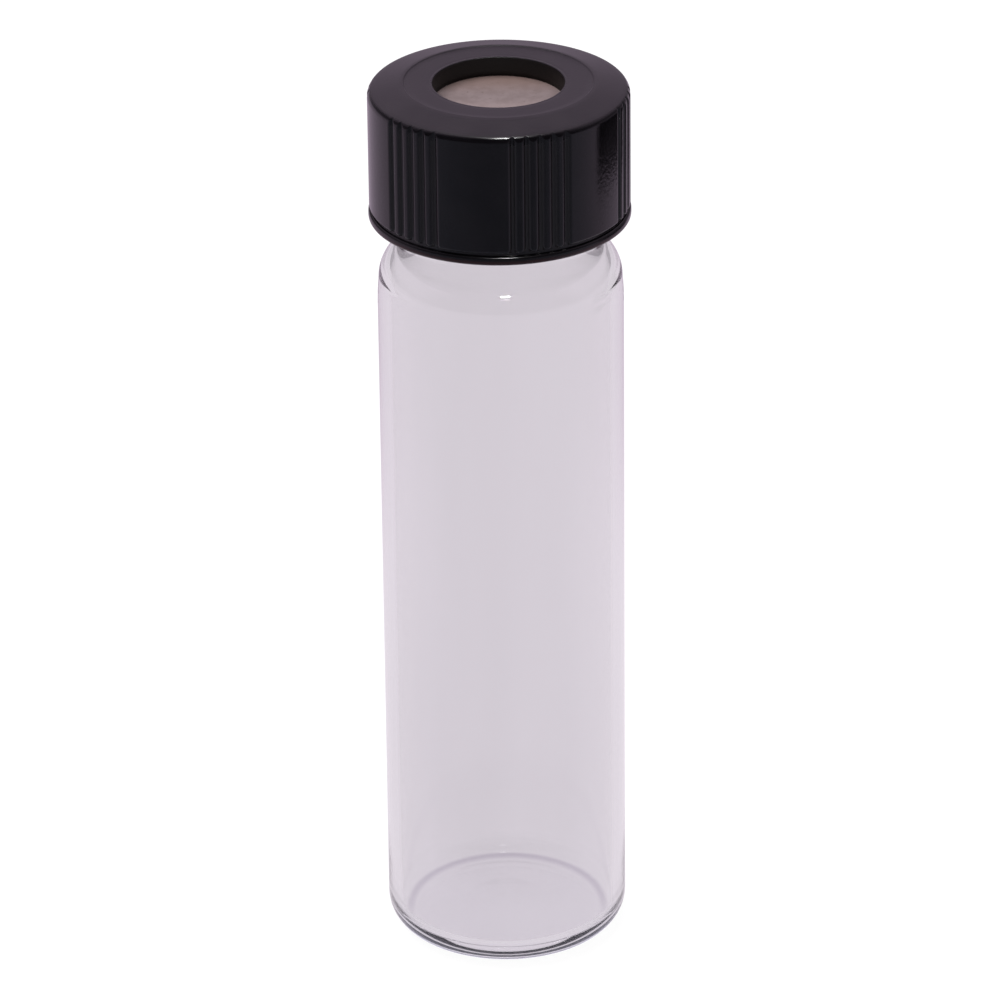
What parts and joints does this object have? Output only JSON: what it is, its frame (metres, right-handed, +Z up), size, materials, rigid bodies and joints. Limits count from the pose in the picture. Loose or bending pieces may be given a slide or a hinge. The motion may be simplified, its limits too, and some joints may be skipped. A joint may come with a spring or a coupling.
{
  "type": "sample vial",
  "caption": "Round-shouldered clear glass vial with a screw-thread neck, closed by a ribbed open-top screw closure over a flat septum.",
  "frame": {"origin": "on the vial's axis at the level of the ring it stands on", "axes": "+Z up along the vial's axis towards the closure; +X to the right and -Y towards a viewer of the front"},
  "size_m": [0.0246, 0.0246, 0.0882],
  "materials": {
    "glass": "clear, fire polished",
    "septum": "matt",
    "closure": "satin top, glossy skirt"
  },
  "bodies": {
    "glass": {"vial": "glass"},
    "seal": {"septum": "septum"},
    "closure": {"cap": "closure"}
  },
  "joints": [
    {"name": "cap_rise", "type": "slide", "parent": "glass", "child": "seal", "axis": [0, 0, 1], "range_m": [0, 0.0112]},
    {"name": "cap_turn", "type": "hinge", "parent": "seal", "child": "closure", "pos_m": [0, 0, 0.0815], "axis": [0, 0, 1], "range_deg": [0, 1260]}
  ],
  "couplings": [
    {"joint": "cap_rise", "follows": "cap_turn", "m_per_rad": 0.00050532}
  ]
}
